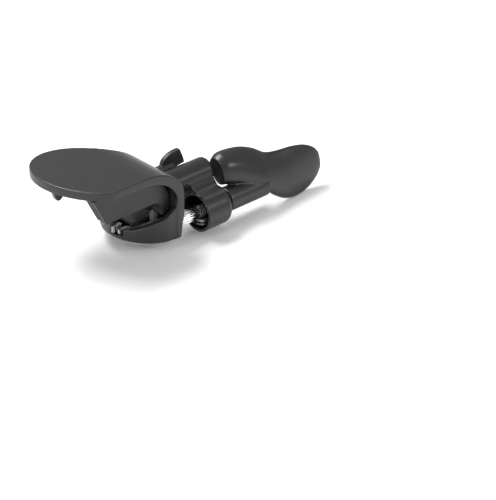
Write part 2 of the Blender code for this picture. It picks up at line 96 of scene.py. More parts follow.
# Places that the frame gives
SHAFT_START, SHAFT_END = span("drive_shaft", "x")
SHAFT_Z = middle("drive_roller", "z")
ROLLER_START, ROLLER_END = span("drive_roller", "x")
ROLLER_R = span("drive_roller", "z")[1] - SHAFT_Z
PLATE_TOP = span("palm_body", "z")[1]
NEAR_SIDE = span("palm_body", "y")[0]
SHOE_BOTTOM = span("palm_body", "z")[0]
SHOE_FAR_SIDE = span("shoe_cover", "y")[1] + 2.5
BARREL_START, BARREL_END = span("outer_housing", "x")
LEVER_START = span("thumb_lever", "x")[0]
KEY_START = span("key_handle", "x")[0]
PIN_X = middle("key_pin", "x")
CUTTER_X = middle("cutting_wheel", "x")
JAW_PIVOT = (middle("jaw_pin", "x"), middle("jaw_pin", "y"))
JAW_LOW, JAW_HIGH = span("lid_jaw", "z")

# Shapes of the main mouldings
SHAFT_R = 1.8
SHAFT_BORE = SHAFT_R + GAP
BUSH_R = 3.0
BUSH_HOLE_R = 3.3
PIN_HOLE_R = 1.1
ROLLER_FLUTES = 18
FLUTE_DEPTH = 0.5
BAND = 4.1
LOOP_START = -12.0
LOOP_OUTER_X = 9.3
LOOP_OUTER_TURN_Z = 22.0
LOOP_INNER_START = -14.0
LOOP_INNER_X = 5.3
LOOP_INNER_TURN_Z = 19.5
LOOP_FAR_SIDE = 24.0
PALM_CENTRE = (-24.6, 17.4)
PALM_HALF_LENGTH = 28.3
PALM_HALF_WIDTH = 20.1
PALM_ANGLE = 117.0
SHOE_CENTRE = (7.3, 17.0)
SHOE_R = 22.0
SHOE_WALL = 2.2
SHOE_FLOOR = 2.8
SHOE_RIGHT = 7.6
SHOE_TOP = 18.5
PANEL_BOTTOM = 19.7
PANEL_LEG_BOTTOM = 12.4
PANEL_GROOVES = (2.2, 4.5)
LIP_PROFILE = ((-16, 6.6), (-12, 7.0), (-10, 8.2), (-5, 10.9), (0, 13.2), (5.3, 17.5))
LEG_BACK_PROFILE = ((36, 6.9), (29, 7.6), (24.4, 18.5))
MOUTH_ANGLES = (180.0, 198.0)
BARREL = (11.0, 18.8)
BARREL_R = 6.25
BELL_R = 9.3
BELL_WALL = 1.2
BELL_START = 20.6
BELL_END = 35.6
BELL_CAP = 2.0
BELL_WEB_HALF = 5.2
BELL_RIB_ANGLES = (83.0, 113.0)
BELL_RIB_R = 1.25
COLLAR_R = 4.7
CARRIAGE_HALF_WIDTH = 3.4
LEVER = (20.6, 20.6)
LEVER_R = 2.6
LEVER_HUB_END = 24.5
LEVER_PIN_R = 0.9
LEVER_BORE = 1.2
JAW_PIN_R = 1.7
JAW_BORE = 2.0
JAW_EYE_R = 2.7
JAW_TIP = (-14.6, 12.5)
FIXED_JAW_EDGE = 15.6
KEY_HUB_R = 5.8
KEY_HUB_END = 62.0
SOLE_SCREWS = ((-5.5, 4.0), (-8.5, 24.0), (3.5, 30.0))
ROUND = 72


# ---------------------------------------------------------------- outlines

def arc(centre, radii, start, end, steps):
    turns = [math.radians(start + (end - start) * i / steps) for i in range(steps + 1)]
    return [(centre[0] + radii[0] * math.cos(t), centre[1] + radii[1] * math.sin(t)) for t in turns]


def tilted_ellipse(centre, half_length, half_width, angle, steps):
    turn = Matrix.Rotation(math.radians(angle), 2)
    turns = [2 * math.pi * i / steps for i in range(steps)]
    spots = [turn @ Vector((half_length * math.cos(t), half_width * math.sin(t))) for t in turns]
    return [(centre[0] + p.x, centre[1] + p.y) for p in spots]


def palm_plan():
    """Plan of the palm plate: its oval, run into the straight strip that becomes the loop."""
    oval = tilted_ellipse(PALM_CENTRE, PALM_HALF_LENGTH, PALM_HALF_WIDTH, PALM_ANGLE, 220)
    kept = [p for p in oval if p[1] > NEAR_SIDE + 0.1 and (p[0] < -12 or p[1] > 36)]
    first = next(i for i, p in enumerate(kept) if math.dist(p, kept[i - 1]) > 4)
    kept = kept[first:] + kept[:first]
    if kept[0][1] < kept[-1][1]:
        kept.reverse()
    far = LOOP_FAR_SIDE
    return kept + [(-29, NEAR_SIDE), (12, NEAR_SIDE), (12, far), (4, far + 0.2), (-1, far + 1.8), (-5, 28)]


def loop_profile():
    """Side outline of the palm plate, the loop and the leg down to the shoe."""
    inner_top = PLATE_TOP - BAND
    outer_size = (LOOP_OUTER_X - LOOP_START, PLATE_TOP - LOOP_OUTER_TURN_Z)
    inner_size = (LOOP_INNER_X - LOOP_INNER_START, inner_top - LOOP_INNER_TURN_Z)
    outer = arc((LOOP_START, LOOP_OUTER_TURN_Z), outer_size, 90, 0, 48)
    inner = arc((LOOP_INNER_START, LOOP_INNER_TURN_Z), inner_size, 0, 90, 48)
    leg = [(LOOP_OUTER_X, 12), (8.4, 8), (SHOE_RIGHT, SHOE_BOTTOM), (LOOP_INNER_X, SHOE_BOTTOM)]
    return [(-52, PLATE_TOP)] + outer + leg + inner + [(-52, inner_top)]


def shoe_plan(inset):
    radius = SHOE_R - inset
    right = SHOE_RIGHT - inset
    far = SHOE_FAR_SIDE - inset
    near = NEAR_SIDE + inset
    kept = [p for p in arc(SHOE_CENTRE, (radius, radius), 130, 252, 96) if near < p[1] < far]
    return [(right, far)] + kept + [(right, near)]


def smooth_line(points, steps=8):
    """A smooth curve through plan points."""
    line = []
    for i in range(len(points) - 1):
        near = [Vector(points[min(max(i + k, 0), len(points) - 1)]) for k in (-1, 0, 1, 2)]
        line += [tuple(catmull(near, s / steps)) for s in range(steps)]
    return line + [tuple(points[-1])]


def catmull(p, t):
    return 0.5 * (2 * p[1] + (p[2] - p[0]) * t + (2 * p[0] - 5 * p[1] + 4 * p[2] - p[3]) * t * t
                  + (3 * p[1] - p[0] - 3 * p[2] + p[3]) * t ** 3)


def serrated(start, end, count, depth):
    """Points of a saw edge, teeth to the left of travel."""
    run = Vector(end) - Vector(start)
    normal = Vector((-run.y, run.x)).normalized() * depth
    points = []
    for i in range(count):
        points.append(tuple(Vector(start) + run * (i / count)))
        points.append(tuple(Vector(start) + run * ((i + 0.5) / count) + normal))
    return points + [tuple(end)]


# ---------------------------------------------------------------- solids

def on_axis(axis, along, u, v):
    if axis == "x":
        return (along, u, v)
    if axis == "y":
        return (u, along, v)
    return (u, v, along)


def loft(rings, closed_ends=True):
    """A solid through rings of points that all have the same count."""
    bm = bmesh.new()
    rows = [[bm.verts.new(p) for p in points] for points in rings]
    for first, second in zip(rows, rows[1:]):
        for i in range(len(first)):
            j = (i + 1) % len(first)
            bm.faces.new((first[i], first[j], second[j], second[i]))
    if closed_ends:
        bm.faces.new(rows[0])
        bm.faces.new(rows[-1])
    return bm


def prism(outline, low, high, axis="z"):
    return loft([[on_axis(axis, level, u, v) for u, v in outline] for level in (low, high)])


def turned(profile, centre=(0.0, 0.0), axis="x", segments=ROUND):
    """Turn a profile of (along, radius) points; radius 0 closes an end, otherwise it is a ring."""
    bm = bmesh.new()
    rows = []
    for along, radius in profile:
        if radius == 0:
            rows.append([bm.verts.new(on_axis(axis, along, *centre))] * segments)
            continue
        turns = [2 * math.pi * i / segments for i in range(segments)]
        rows.append([bm.verts.new(on_axis(axis, along, centre[0] + radius * math.cos(t),
                                          centre[1] + radius * math.sin(t))) for t in turns])
    pairs = list(zip(rows, rows[1:]))
    if profile[0][1] > 0:
        pairs.append((rows[-1], rows[0]))
    for first, second in pairs:
        for i in range(segments):
            j = (i + 1) % segments
            bm.faces.new(list(dict.fromkeys((first[i], first[j], second[j], second[i]))))
    return bm


def rod(low, high, radius, chamfer=0.0, **where):
    if not chamfer:
        return turned([(low, 0), (low, radius), (high, radius), (high, 0)], **where)
    return turned([(low, 0), (low, radius - chamfer), (low + chamfer, radius),
                   (high - chamfer, radius), (high, radius - chamfer), (high, 0)], **where)


def ring(low, high, inner, outer, edge=0.12, **where):
    """A washer or bush whose outer and inner edges are broken."""
    return turned([(low + edge, inner), (low, inner + edge), (low, outer - edge), (low + edge, outer),
                   (high - edge, outer), (high, outer - edge), (high, inner + edge),
                   (high - edge, inner)], **where)


def coil(low, high, radius, wire, turns, centre, axis="x"):
    """A wire spring whose last turn at each end lies flat."""
    steps = 40
    total = turns * steps
    rings = []
    for i in range(total + 1):
        share = i / total
        eased = min(max((share * turns - 0.5) / (turns - 1), 0.0), 1.0)
        angle = 2 * math.pi * turns * share
        along = low + wire + (high - low - 2 * wire) * eased
        section = []
        for k in range(12):
            t = 2 * math.pi * k / 12
            r = radius + wire * math.cos(t)
            section.append(on_axis(axis, along + wire * math.sin(t), centre[0] + r * math.cos(angle),
                                   centre[1] + r * math.sin(angle)))
        rings.append(section)
    return loft(rings)


def object_of(name, bm):
    bmesh.ops.recalc_face_normals(bm, faces=bm.faces)
    mesh = bpy.data.meshes.new(name)
    bm.to_mesh(mesh)
    bm.free()
    obj = bpy.data.objects.new(name, mesh)
    bpy.context.scene.collection.objects.link(obj)
    return obj


def bake(obj):
    """Apply an object's modifiers."""
    graph = bpy.context.evaluated_depsgraph_get()
    mesh = bpy.data.meshes.new_from_object(obj.evaluated_get(graph))
    obj.modifiers.clear()
    obj.data = mesh
    return obj


def combine(obj, operation, *tools):
    """Add, keep or cut solids, which are used up."""
    helpers = [object_of(f"{obj.name}_tool", bm) for bm in tools]
    for helper in helpers:
        modifier = obj.modifiers.new(operation, "BOOLEAN")
        modifier.operation = operation
        modifier.solver = "EXACT"
        modifier.object = helper
    bake(obj)
    for helper in helpers:
        bpy.data.objects.remove(helper, do_unlink=True)
    return obj


def soften(obj, voxel, passes):
    """Even out the mesh and round every edge, as a moulding tool leaves them."""
    remesh = obj.modifiers.new("even", "REMESH")
    remesh.mode = "VOXEL"
    remesh.voxel_size = voxel
    smooth = obj.modifiers.new("round", "SMOOTH")
    smooth.factor = 0.5
    smooth.iterations = passes
    bake(obj)
    obj.data.shade_smooth()
    return obj


def break_edges(obj, width, segments=2, angle=32):
    """Bevel the edges of a machined or pressed piece."""
    bevel = obj.modifiers.new("edges", "BEVEL")
    bevel.width = width
    bevel.segments = segments
    bevel.limit_method = "ANGLE"
    bevel.angle_limit = math.radians(angle)
    bake(obj)
    obj.data.shade_smooth()
    weight = obj.modifiers.new("faces", "WEIGHTED_NORMAL")
    weight.keep_sharp = True
    return bake(obj)


BODY_OF = {node: body for body, nodes in frame["record"]["behaviour"]["bodies"].items() for node in nodes}


def show(obj, node, material):
    """Scale a finished piece to metres and let it stand for its CAD node."""
    obj.name = f"{node}_fine"
    obj.data.transform(Matrix.Scale(MM, 4))
    obj.data.materials.clear()
    obj.data.materials.append(material)
    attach(obj, BODY_OF[node])
    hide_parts(node)
    return obj


# ---------------------------------------------------------------- materials

def start_material(name, color, roughness, metallic):
    mat = bpy.data.materials.new(name)
    mat.use_nodes = True
    shader = mat.node_tree.nodes["Principled BSDF"]
    shader.inputs["Base Color"].default_value = (*color, 1.0)
    shader.inputs["Roughness"].default_value = roughness
    shader.inputs["Metallic"].default_value = metallic
    coords = mat.node_tree.nodes.new("ShaderNodeTexCoord")
    return mat, shader, coords.outputs["Object"]


def noise_at(mat, coords, scale, stretch=(1, 1, 1), detail=3.0):
    tree = mat.node_tree
    mapping = tree.nodes.new("ShaderNodeMapping")
    mapping.inputs["Scale"].default_value = stretch
    texture = tree.nodes.new("ShaderNodeTexNoise")
    texture.inputs["Scale"].default_value = scale
    texture.inputs["Detail"].default_value = detail
    tree.links.new(coords, mapping.inputs["Vector"])
    tree.links.new(mapping.outputs["Vector"], texture.inputs["Vector"])
    return texture.outputs["Fac"]


def spread(mat, value, low, high, into):
    """Map a 0.3 to 0.7 noise onto a range of a shader input."""
    node = mat.node_tree.nodes.new("ShaderNodeMapRange")
    node.inputs["From Min"].default_value = 0.3
    node.inputs["From Max"].default_value = 0.7
    node.inputs["To Min"].default_value = low
    node.inputs["To Max"].default_value = high
    mat.node_tree.links.new(value, node.inputs["Value"])
    mat.node_tree.links.new(node.outputs["Result"], into)


def tint_with_edge_highlight(mat, shader, value, color, edge_highlight_color, amount=0.5):
    """Tint the colour by noise, and lighten raised edges as a painted highlight."""
    tree = mat.node_tree
    blend = tree.nodes.new("ShaderNodeMix")
    blend.data_type = "RGBA"
    blend.inputs["A"].default_value = (*[c * 0.88 for c in color], 1)
    blend.inputs["B"].default_value = (*[c * 1.12 for c in color], 1)
    tree.links.new(value, blend.inputs["Factor"])
    # Raised edges, found by pointiness, are mixed towards a lighter colour: a painted highlight along the
    # edges.
    geometry = tree.nodes.new("ShaderNodeNewGeometry")
    edge = tree.nodes.new("ShaderNodeMapRange")
    edge.inputs["From Min"].default_value = 0.52
    edge.inputs["From Max"].default_value = 0.62
    edge.inputs["To Max"].default_value = amount
    tree.links.new(geometry.outputs["Pointiness"], edge.inputs["Value"])
    edge_highlight = tree.nodes.new("ShaderNodeMix")
    edge_highlight.data_type = "RGBA"
    edge_highlight.inputs["B"].default_value = (*edge_highlight_color, 1)
    tree.links.new(edge.outputs["Result"], edge_highlight.inputs["Factor"])
    tree.links.new(blend.outputs["Result"], edge_highlight.inputs["A"])
    tree.links.new(edge_highlight.outputs["Result"], shader.inputs["Base Color"])


def add_bump(mat, shader, heights, distance):
    """Raise the surface by one or two noises."""
    tree = mat.node_tree
    previous = None
    for value, strength in heights:
        bump = tree.nodes.new("ShaderNodeBump")
        bump.inputs["Strength"].default_value = strength
        bump.inputs["Distance"].default_value = distance
        tree.links.new(value, bump.inputs["Height"])
        if previous:
            tree.links.new(previous, bump.inputs["Normal"])
        previous = bump.outputs["Normal"]
    tree.links.new(previous, shader.inputs["Normal"])


def moulded_plastic(name, color, roughness, grain):
    """Satin plastic: spark-eroded grain, slight flow marks and edges lightened as a painted highlight."""
    mat, shader, coords = start_material(name, color, roughness, 0.0)
    flow = noise_at(mat, coords, 45, (1, 1, 1.6))
    fine = noise_at(mat, coords, 2600, detail=2.0)
    smear = noise_at(mat, coords, 240, (1, 2.4, 1), 4.0)
    spread(mat, flow, roughness - 0.045, roughness + 0.045, shader.inputs["Roughness"])
    # Painted highlight: raised edges are lightened to about twice the base colour.
    tint_with_edge_highlight(mat, shader, smear, color, [c * 2.2 + 0.006 for c in color])
    add_bump(mat, shader, ((fine, grain), (smear, grain * 0.25)), 0.00003)
    return mat


def worked_metal(name, color, roughness, lay, scratch=0.25):
    """Metal with a directional finish; lay is how far the noise is stretched along X, Y and Z."""
    mat, shader, coords = start_material(name, color, roughness, 1.0)
    lines = noise_at(mat, coords, 1800, lay, 3.0)
    cloud = noise_at(mat, coords, 130)
    spread(mat, lines, roughness - 0.06, roughness + 0.1, shader.inputs["Roughness"])
    # Painted highlight: raised edges are lightened towards a paler metal colour.
    tint_with_edge_highlight(mat, shader, cloud, color, [min(1.0, c * 1.3 + 0.05) for c in color], 0.7)
    add_bump(mat, shader, ((lines, scratch),), 0.00001)
    return mat


BLACK = moulded_plastic("satin_black_plastic", (0.012, 0.012, 0.013), 0.33, 0.3)
PANEL = moulded_plastic("matt_black_plastic", (0.014, 0.014, 0.015), 0.46, 0.4)
GREY = moulded_plastic("dark_grey_plastic", (0.018, 0.018, 0.019), 0.44, 0.4)
STEEL = worked_metal("turned_steel", (0.56, 0.56, 0.57), 0.30, (3.0, 0.4, 0.4))
PRESSED = worked_metal("pressed_steel", (0.34, 0.34, 0.35), 0.38, (0.25, 3.0, 3.0))
SPRING = worked_metal("spring_steel", (0.24, 0.24, 0.25), 0.32, (1.0, 1.0, 1.0))
CHROME = worked_metal("hardened_chrome", (0.86, 0.86, 0.88), 0.13, (0.3, 2.0, 2.0), 0.05)
BRONZE = worked_metal("oiled_bronze", (0.43, 0.27, 0.12), 0.38, (2.0, 0.5, 0.5), 0.4)


# ---------------------------------------------------------------- pieces of the handle half

def show_palm_body():
    """Palm plate, springy loop and lid shoe: one moulding."""
    body = object_of("palm", prism(loop_profile(), NEAR_SIDE - 6, 52, "y"))
    combine(body, "INTERSECT", prism(palm_plan(), 0, 45))
    shoe = object_of("shoe", prism(shoe_plan(0), SHOE_BOTTOM, SHOE_TOP))
    lip = [(-16, 0), (8, 0), (8, 19)] + smooth_line(LIP_PROFILE)[::-1]
    far = SHOE_FAR_SIDE + 1
    back = [(NEAR_SIDE - 1, 0), (far, 0)] + list(LEG_BACK_PROFILE) + [(NEAR_SIDE - 1, SHOE_TOP)]
    combine(shoe, "INTERSECT", prism(lip, NEAR_SIDE - 1, far, "y"), prism(back, -20, 12, "x"))
    join = bmesh.new()
    join.from_mesh(shoe.data)
    bpy.data.objects.remove(shoe, do_unlink=True)
    combine(body, "UNION", join)
    mouth = [SHOE_CENTRE] + arc(SHOE_CENTRE, (SHOE_R + 3, SHOE_R + 3), *MOUTH_ANGLES, 4)
    holes = [prism(shoe_plan(SHOE_WALL), SHOE_FLOOR, 30), prism(mouth, SHOE_FLOOR, 30),
             turned([(-1.3, 0), (-1.3, SHAFT_BORE), (0.4, SHAFT_BORE), (0.4, 2.9), (3.7, 2.9),
                     (3.7, BUSH_HOLE_R), (12, BUSH_HOLE_R), (12, 0)], centre=(0, SHAFT_Z)),
             rod(-3, 12, 1.9, centre=BARREL),
             rod(0, 4, JAW_BORE, centre=JAW_PIVOT, axis="z"),
             rod(5.9, 12, LEVER_BORE, centre=LEVER)]
    holes += [rod(0.5, 4, 1.0, centre=spot, axis="z", segments=32) for spot in SOLE_SCREWS]
    combine(body, "DIFFERENCE", *holes)
    show(soften(body, 0.3, 9), "palm_body", BLACK)


def show_side_panel():
    """Recessed panel that fills the loop, grooved down its free end."""
    near, far = span("side_panel", "y")
    low, top = PANEL_LEG_BOTTOM, PLATE_TOP - BAND - GAP
    right = LOOP_INNER_X - GAP
    size = (right - LOOP_INNER_START, top - LOOP_INNER_TURN_Z)
    curve = arc((LOOP_INNER_START, LOOP_INNER_TURN_Z), size, 90, 0, 48)
    mouth = arc((-4.6, 14.2), (5.6, PANEL_BOTTOM - 14.2), 0, 90, 24)
    outline = [(-38.0, top)] + curve + [(right, low), (1.0, low)] + mouth + [(-31.0, PANEL_BOTTOM)]
    panel = object_of("panel", prism(outline, near, far, "y"))
    grooves = [prism([(-42, 36), (-37.2, 36), (-29.2, 18), (-34, 18)], at, at + 0.9, "y")
               for at in PANEL_GROOVES]
    combine(panel, "DIFFERENCE", *grooves, rod(1.6, 6, 3.6, centre=BARREL))
    show(soften(panel, 0.2, 5), "side_panel", PANEL)


def show_shoe_cover():
    low, high = span("shoe_cover", "z")
    near = span("shoe_cover", "y")[0]
    edge = [p for p in shoe_plan(SHOE_WALL + GAP) if p[1] > near + 0.2]
    outline = edge + [(edge[-1][0] + 0.1, near), (edge[0][0], near)]
    cover = object_of("cover", prism(outline, low, high))
    combine(cover, "DIFFERENCE", prism([(-20, 18.4), (-20, 9), (-8.4, 9), (-8.4, 18.4)], 5, 9))
    show(break_edges(cover, 0.3, 3), "shoe_cover", BLACK)


def show_sole():
    """Steel plate under the shoe, held by three countersunk screws."""
    low, high = span("sole_plate", "z")
    sole = object_of("sole", prism(shoe_plan(0.5), low, high))
    sinks = [turned([(-1, 0), (-1, 1.3), (2, 1.3), (2, 0)], spot, "z") for spot in SOLE_SCREWS]
    combine(sole, "DIFFERENCE", *sinks, rod(-1, 2, JAW_BORE, centre=JAW_PIVOT, axis="z"))
    show(break_edges(sole, 0.12), "sole_plate", PRESSED)
    for i, spot in enumerate(SOLE_SCREWS):
        profile = [(0.05, 0), (0.05, 0.88), (0.12, 0.95), (0.45, 0.7), (SHOE_FLOOR, 0.7), (SHOE_FLOOR, 0)]
        screw = object_of("screw", turned(profile, spot, "z", 40))
        x, y = spot
        slots = [prism([(x - u, y - v), (x + u, y - v), (x + u, y + v), (x - u, y + v)], -0.5, 0.35)
                 for u, v in ((0.65, 0.12), (0.12, 0.65))]
        combine(screw, "DIFFERENCE", *slots)
        show(break_edges(screw, 0.03), f"sole_screw_{i + 1}", STEEL)


def show_tab_hook():
    near, far = span("tab_hook", "y")
    top = span("tab_hook", "z")[1]
    outline = [(-45.2, top), (-43.9, 29.4), (-43.0, 28.3), (-41.6, 28.2), (-38.4, 30.9), (-34.0, top)]
    hook = object_of("hook", prism(outline, near, far, "y"))
    show(break_edges(hook, 0.45, 4), "tab_hook", BLACK)


# ---------------------------------------------------------------- cutter half

def show_outer_housing():
    """Bridge barrel and cutter bell, with a soft web and two ribs between them."""
    barrel = [(BARREL_START, 0), (BARREL_START, BARREL_R), (BARREL_END - 1.6, BARREL_R),
              (BARREL_END - 0.7, BARREL_R - 0.35), (BARREL_END - 0.15, BARREL_R - 1.0),
              (BARREL_END, BARREL_R - 1.8), (BARREL_END, 0)]
    housing = object_of("housing", turned(barrel, BARREL, segments=120))
    bell = [(BELL_START, 0), (BELL_START, BELL_R), (BELL_END - 2.6, BELL_R),
            (BELL_END - 1.5, BELL_R - 0.35), (BELL_END - 0.6, BELL_R - 1.1),
            (BELL_END, BELL_R - 2.4), (BELL_END, 0)]
    across = Vector((BARREL[0], BARREL[1] - SHAFT_Z)).normalized()
    side = Vector((-across.y, across.x)) * BELL_WEB_HALF
    low, high = Vector((0, SHAFT_Z)), Vector(BARREL)
    web = prism([low + side, high + side, high - side, low - side], BELL_START, BELL_END - 1, "x")
    ribs = []
    for angle in BELL_RIB_ANGLES:
        t = math.radians(angle)
        spot = (BELL_R * math.cos(t), SHAFT_Z + BELL_R * math.sin(t))
        ribs.append(rod(BELL_START, BELL_END - 2, BELL_RIB_R, centre=spot))
    combine(housing, "UNION", turned(bell, (0, SHAFT_Z), segments=120), web, *ribs)
    combine(housing, "DIFFERENCE",
            rod(BELL_START - 2, BELL_END - BELL_CAP, BELL_R - BELL_WALL, centre=(0, SHAFT_Z), segments=120),
            rod(30, 40, BUSH_HOLE_R, centre=(0, SHAFT_Z)), rod(5, 24, 1.2, centre=BARREL))
    show(soften(housing, 0.25, 8), "outer_housing", BLACK)


def show_fasteners():
    spot = BARREL
    screw = object_of("screw", turned([(2.2, 0), (2.2, 2.6), (2.5, 2.9), (3.2, 3.0), (5.0, 3.0),
                                       (5.0, 0.9), (21.6, 0.9), (22.0, 0.5), (22.0, 0)], spot))
    hexagon = arc(spot, (1.5, 1.5), 0, 300, 5)
    combine(screw, "DIFFERENCE", prism(hexagon, 1, 3.6, "x"))
    show(break_edges(screw, 0.06), "bridge_screw", STEEL)
    bush = ring(*span("inner_bush", "x"), SHAFT_BORE, BUSH_R, centre=(0, SHAFT_Z))
    show(break_edges(object_of("bush", bush), 0.03), "inner_bush", BRONZE)
    low, high = span("outer_bush", "x")
    flanged = [(low, SHAFT_BORE), (low, 4.45), (low + 0.15, 4.6), (low + 0.7, 4.6), (low + 0.7, BUSH_R),
               (high, BUSH_R), (high, SHAFT_BORE)]
    show(break_edges(object_of("bush", turned(flanged, (0, SHAFT_Z))), 0.05), "outer_bush", BRONZE)
    pin = rod(*span("jaw_pin", "z"), JAW_PIN_R, 0.3, centre=JAW_PIVOT, axis="z")
    show(break_edges(object_of("pin", pin), 0.06), "jaw_pin", STEEL)
    pin = rod(*span("key_pin", "z"), 0.8, 0.2, centre=(PIN_X, 0), axis="z", segments=40)
    show(break_edges(object_of("pin", pin), 0.04), "key_pin", STEEL)


def fluted_outline(radius, flutes, depth, samples=12):
    """Round bar with rounded lands and narrow flutes."""
    points = []
    for i in range(flutes * samples):
        turn = i / samples
        groove = max(0.0, math.cos(2 * math.pi * turn)) ** 1.6
        angle = 2 * math.pi * turn / flutes
        reach = radius - depth * groove
        points.append((reach * math.cos(angle), SHAFT_Z + reach * math.sin(angle)))
    return points


def show_drive():
    """Shaft, fluted roller, clip and washers."""
    shaft = [(SHAFT_START, 0), (SHAFT_START, 1.3), (SHAFT_START + 0.5, SHAFT_R), (0.6, SHAFT_R), (0.6, 1.3),
             (1.5, 1.3), (1.5, SHAFT_R), (SHAFT_END - 0.4, SHAFT_R), (SHAFT_END, 1.4), (SHAFT_END, 0)]
    shaft = object_of("shaft", turned(shaft, (0, SHAFT_Z)))
    combine(shaft, "DIFFERENCE", rod(0, 14, PIN_HOLE_R, centre=(PIN_X, 0), axis="z"))
    show(break_edges(shaft, 0.06), "drive_shaft", STEEL)
    chamfer = 0.35
    stations = ((ROLLER_START, chamfer), (ROLLER_START + chamfer, 0), (ROLLER_END - chamfer, 0),
                (ROLLER_END, chamfer))
    rings = [[(along, u, v) for u, v in fluted_outline(ROLLER_R - inset, ROLLER_FLUTES, FLUTE_DEPTH)]
             for along, inset in stations]
    roller = object_of("roller", loft(rings))
    combine(roller, "DIFFERENCE", rod(5, 25, SHAFT_BORE, centre=(0, SHAFT_Z)))
    roller.data.shade_smooth()
    roller.data.set_sharp_from_angle(angle=math.radians(40))
    show(roller, "drive_roller", CHROME)
    for node, inner, outer in (("shaft_clip", 1.6, 2.5), ("inner_washer", SHAFT_BORE, 2.6),
                               ("key_washer", SHAFT_BORE, 4.8)):
        washer = ring(*span(node, "x"), inner, outer, centre=(0, SHAFT_Z))
        show(break_edges(object_of("washer", washer), 0.03), node, STEEL)


def show_cutter():
    """Sprung carriage with its cutting wheel on a short upright axle."""
    wheel_low, wheel_high = span("cutting_wheel", "z")
    radius = span("cutting_wheel", "y")[1]
    plate_low, plate_high = wheel_high + 0.5, wheel_high + 1.7
    back = span("cutter_carriage", "x")[1]
    half = CARRIAGE_HALF_WIDTH
    plate = arc((CUTTER_X, 0), (half, half), 90, 270, 24) + [(back, -half), (back, half)]
    carriage = object_of("carriage", prism(plate, plate_low, plate_high))
    collar = ring(back - 3.0, back, SHAFT_R + 0.5, COLLAR_R, centre=(0, SHAFT_Z))
    combine(carriage, "UNION", collar)
    combine(carriage, "DIFFERENCE", rod(0, 8, 1.3, centre=(CUTTER_X, 0), axis="z"))
    show(break_edges(carriage, 0.12), "cutter_carriage", PRESSED)
    low = span("cutter_axle", "z")[0]
    axle = [(low, 0), (low, 1.6), (low + 0.12, 1.9), (low + 0.3, 1.9), (low + 0.3, 1.0),
            (plate_high, 1.0), (plate_high, 0)]
    show(break_edges(object_of("axle", turned(axle, (CUTTER_X, 0), "z")), 0.04), "cutter_axle", STEEL)
    wheel = [(wheel_low, 1.3), (wheel_low, 2.6), (wheel_low + 0.25, 3.0), (wheel_high - 0.33, radius - 0.03),
             (wheel_high - 0.3, radius), (wheel_high - 0.27, radius - 0.03), (wheel_high, radius - 0.8),
             (wheel_high, 1.3)]
    wheel = object_of("wheel", turned(wheel, (CUTTER_X, 0), "z", 120))
    wheel.data.shade_smooth()
    wheel.data.set_sharp_from_angle(angle=math.radians(20))
    show(wheel, "cutting_wheel", CHROME)


def show_springs():
    centre = (0, SHAFT_Z)
    show_spring(coil(*span("carriage_spring", "x"), 2.55, 0.25, 6, centre), "carriage_spring")
    show_spring(coil(*span("lever_spring", "x"), 1.75, 0.28, 6, LEVER), "lever_spring")
    show_spring(coil(*span("jaw_spring", "z"), 2.2, 0.28, 4, JAW_PIVOT, "z"), "jaw_spring")


def show_spring(bm, node):
    spring = object_of("spring", bm)
    spring.data.shade_smooth()
    show(spring, node, SPRING)


def show_lever():
    """Thumb lever: round hub and flat fin."""
    y, z = LEVER
    hub = rod(LEVER_START, LEVER_HUB_END, LEVER_R, 0.4, centre=LEVER)
    fin = smooth_line([(17.6, z + 1.6), (18.2, 24.6), (19.6, 26.3), (22.2, 27.7), (25.4, 28.3),
                       (28.4, 28.4)], 6)
    fin += smooth_line([(29.2, 26.8), (30.4, 23.8), (31.2, z + 0.4)], 6)
    fin += [(LEVER_HUB_END, z - 0.6), (17.6, z - 0.6)]
    lever = object_of("lever", hub)
    combine(lever, "UNION", prism(fin, y - 1.1, y + 1.1, "y"))
    combine(lever, "DIFFERENCE", rod(5, LEVER_HUB_END - 1.2, LEVER_BORE, centre=LEVER))
    show(soften(lever, 0.14, 4), "thumb_lever", GREY)
    pin = rod(*span("lever_pin", "x"), LEVER_PIN_R, 0.15, centre=LEVER, segments=40)
    show(break_edges(object_of("pin", pin), 0.04), "lever_pin", STEEL)


def show_pincer():
    """Pincer that holds the cut lid: a pivoted jaw, its fixed partner and its spacer."""
    px, py = JAW_PIVOT
    tip = JAW_TIP
    arm = [(px - 1, py + 2.5), (-8.0, tip[1] - 0.6)] + serrated((-9.4, tip[1]), tip, 3, -0.5)
    arm += [(tip[0], tip[1] - 1.1), (-10.6, tip[1] - 1.2), (-8.4, 8.6), (px - 1, py - 2.5)]
    jaw = object_of("jaw", prism(arm, JAW_LOW, JAW_HIGH))
    combine(jaw, "UNION", rod(JAW_LOW, JAW_HIGH, JAW_EYE_R, centre=JAW_PIVOT, axis="z"))
    combine(jaw, "DIFFERENCE", rod(3, 8, JAW_BORE, centre=JAW_PIVOT, axis="z"))
    show(break_edges(jaw, 0.12), "lid_jaw", PRESSED)
    spacer = ring(*span("jaw_spacer", "z"), JAW_BORE, 2.5, centre=JAW_PIVOT, axis="z")
    show(break_edges(object_of("spacer", spacer), 0.03), "jaw_spacer", STEEL)
    left, right = span("fixed_jaw", "x")
    fixed = [(left, 16.6), (-11.6, 16.6), (-11.6, 21.0), (right, 21.0)]
    fixed += serrated((right, FIXED_JAW_EDGE), (left, FIXED_JAW_EDGE), 3, 0.5)
    show(break_edges(object_of("jaw", prism(fixed, *span("fixed_jaw", "z"))), 0.12), "fixed_jaw", PRESSED)


# ---------------------------------------------------------------- key

